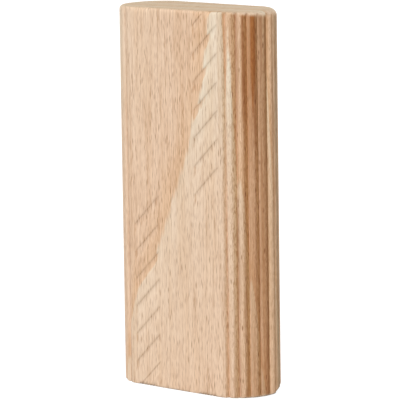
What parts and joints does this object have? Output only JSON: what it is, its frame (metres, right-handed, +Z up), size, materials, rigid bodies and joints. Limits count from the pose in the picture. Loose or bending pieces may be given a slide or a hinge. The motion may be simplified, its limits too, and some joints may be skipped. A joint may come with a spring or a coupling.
{
  "type": "loose tenon",
  "caption": "Flat beech loose tenon with full-round fluted edges, eased ends and slanted glue pockets pressed into its faces, glued into matching mortises to join boards.",
  "frame": {"origin": "middle of the lower end, on the surface that the tenon stands on", "axes": "+Z up along the length and the grain, +X across the width, -Y out of the front broad face"},
  "size_m": [0.024, 0.01, 0.05],
  "materials": {
    "beech": "planed and moulded, left bare"
  },
  "bodies": {
    "root": {"tenon": "beech"}
  },
  "joints": []
}
